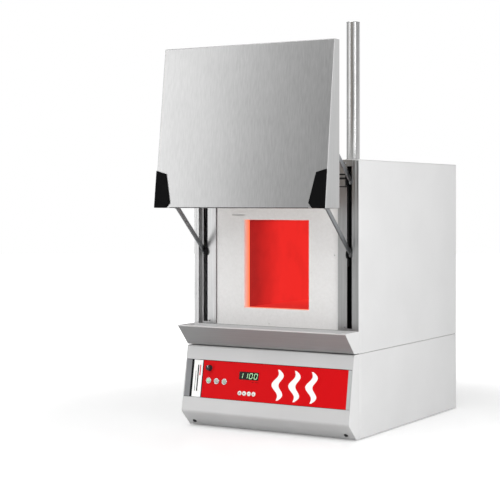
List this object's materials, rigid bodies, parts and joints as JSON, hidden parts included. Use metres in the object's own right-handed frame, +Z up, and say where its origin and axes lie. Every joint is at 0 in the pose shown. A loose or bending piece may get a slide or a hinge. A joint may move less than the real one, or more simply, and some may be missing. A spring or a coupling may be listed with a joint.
{
  "type": "laboratory ashing furnace",
  "caption": "Bench-top box furnace with a parallel-action lift-up door, front loading trough, sloped control panel and rear chimney",
  "frame": {"origin": "middle of the underside, on the surface that the feet stand on, below the centre of the whole part's box with the door open", "axes": "+X to the furnace's right seen from its front, +Y from the door towards the rear, +Z up"},
  "size_m": [0.505, 0.8485, 1.132],
  "materials": {
    "painted_panels": "satin",
    "fascia": "satin",
    "stainless": "satin",
    "chimney": "gloss",
    "arm_steel": "satin",
    "zinc_steel": "satin",
    "heat_sink": "satin",
    "rubber_feet": "matte",
    "black_nylon": "matte",
    "switch_knob": "satin",
    "door_grips": "satin",
    "cream_plastic": "satin",
    "red_panel": "satin",
    "display": "gloss",
    "button_lenses": "gloss",
    "key_caps": "satin",
    "ceramic_board": "matte",
    "thermocouple_sheath": "matte",
    "hot_hearth": "matte",
    "hot_heaters": "matte"
  },
  "bodies": {
    "cabinet": {"base_side_left": "painted_panels", "base_side_right": "painted_panels", "base_rear_panel": "painted_panels", "case_side_left": "painted_panels", "case_side_right": "painted_panels", "case_top": "painted_panels", "case_rear": "painted_panels", "control_fascia": "fascia", "loading_trough": "stainless", "front_frame": "stainless", "chimney_tube": "chimney", "chimney_collar": "chimney", "base_plate": "zinc_steel", "deck_plate": "zinc_steel", "inner_shell": "zinc_steel", "pivot_rail_left": "zinc_steel", "pivot_rail_right": "zinc_steel", "relay_heat_sink": "heat_sink", "foot_front_left": "rubber_feet", "foot_front_right": "rubber_feet", "foot_rear_left": "rubber_feet", "foot_rear_right": "rubber_feet", "cable_gland": "black_nylon", "solid_state_relay": "black_nylon", "temperature_controller": "black_nylon", "terminal_block": "cream_plastic", "rotary_switch": "cream_plastic", "button_block": "cream_plastic", "control_overlay": "red_panel", "display_window": "display", "insulation_front": "ceramic_board", "insulation_floor": "ceramic_board", "insulation_roof": "ceramic_board", "insulation_left": "ceramic_board", "insulation_right": "ceramic_board", "insulation_rear": "ceramic_board", "thermocouple": "thermocouple_sheath", "hearth_tile": "hot_hearth", "heater_panel_left": "hot_heaters", "heater_panel_right": "hot_heaters"},
    "lower_arm_left": {"lower_arm_left": "arm_steel"},
    "lower_arm_right": {"lower_arm_right": "arm_steel"},
    "upper_arm_left": {"upper_arm_left": "arm_steel"},
    "upper_arm_right": {"upper_arm_right": "arm_steel"},
    "door": {"door_skin": "stainless", "door_inner_pan": "stainless", "door_insulation": "ceramic_board", "door_plug": "ceramic_board", "door_grip_left": "door_grips", "door_grip_right": "door_grips", "door_channel_left": "zinc_steel", "door_channel_right": "zinc_steel"},
    "switch_knob": {"power_switch_knob": "switch_knob"},
    "push_button_1": {"push_button_1": "button_lenses"},
    "push_button_2": {"push_button_2": "button_lenses"},
    "push_button_3": {"push_button_3": "button_lenses"},
    "controller_key_1": {"controller_key_1": "key_caps"},
    "controller_key_2": {"controller_key_2": "key_caps"},
    "controller_key_3": {"controller_key_3": "key_caps"},
    "controller_key_4": {"controller_key_4": "key_caps"}
  },
  "joints": [
    {"name": "door_lift", "type": "hinge", "parent": "cabinet", "child": "lower_arm_left", "pos_m": [-0.223, -0.224, 0.471], "axis": [1, 0, 0], "range_deg": [0, 122.7]},
    {"name": "door_level", "type": "hinge", "parent": "lower_arm_left", "child": "door", "pos_m": [-0.223, -0.36253, 0.59661], "axis": [1, 0, 0], "range_deg": [-122.7, 0]},
    {"name": "lower_arm_right_swing", "type": "hinge", "parent": "cabinet", "child": "lower_arm_right", "pos_m": [0.223, -0.224, 0.471], "axis": [1, 0, 0], "range_deg": [0, 122.7]},
    {"name": "upper_arm_left_swing", "type": "hinge", "parent": "cabinet", "child": "upper_arm_left", "pos_m": [-0.223, -0.224, 0.6576], "axis": [1, 0, 0], "range_deg": [0, 122.7]},
    {"name": "upper_arm_right_swing", "type": "hinge", "parent": "cabinet", "child": "upper_arm_right", "pos_m": [0.223, -0.224, 0.6576], "axis": [1, 0, 0], "range_deg": [0, 122.7]},
    {"name": "switch_turn", "type": "hinge", "parent": "cabinet", "child": "switch_knob", "pos_m": [-0.174, -0.27383, 0.161], "axis": [0, -0.9857, 0.1685], "range_deg": [-90, 0]},
    {"name": "push_1", "type": "slide", "parent": "cabinet", "child": "push_button_1", "axis": [0, 0.9857, -0.1685], "range_m": [0, 0.002], "stiffness_N_per_m": 300},
    {"name": "push_2", "type": "slide", "parent": "cabinet", "child": "push_button_2", "axis": [0, 0.9857, -0.1685], "range_m": [0, 0.002], "stiffness_N_per_m": 300},
    {"name": "push_3", "type": "slide", "parent": "cabinet", "child": "push_button_3", "axis": [0, 0.9857, -0.1685], "range_m": [0, 0.002], "stiffness_N_per_m": 300},
    {"name": "key_1", "type": "slide", "parent": "cabinet", "child": "controller_key_1", "axis": [0, 0.9857, -0.1685], "range_m": [0, 0.001], "stiffness_N_per_m": 300},
    {"name": "key_2", "type": "slide", "parent": "cabinet", "child": "controller_key_2", "axis": [0, 0.9857, -0.1685], "range_m": [0, 0.001], "stiffness_N_per_m": 300},
    {"name": "key_3", "type": "slide", "parent": "cabinet", "child": "controller_key_3", "axis": [0, 0.9857, -0.1685], "range_m": [0, 0.001], "stiffness_N_per_m": 300},
    {"name": "key_4", "type": "slide", "parent": "cabinet", "child": "controller_key_4", "axis": [0, 0.9857, -0.1685], "range_m": [0, 0.001], "stiffness_N_per_m": 300}
  ],
  "couplings": [
    {"joint": "door_level", "follows": "door_lift", "ratio": -1},
    {"joint": "lower_arm_right_swing", "follows": "door_lift", "ratio": 1},
    {"joint": "upper_arm_left_swing", "follows": "door_lift", "ratio": 1},
    {"joint": "upper_arm_right_swing", "follows": "door_lift", "ratio": 1}
  ]
}
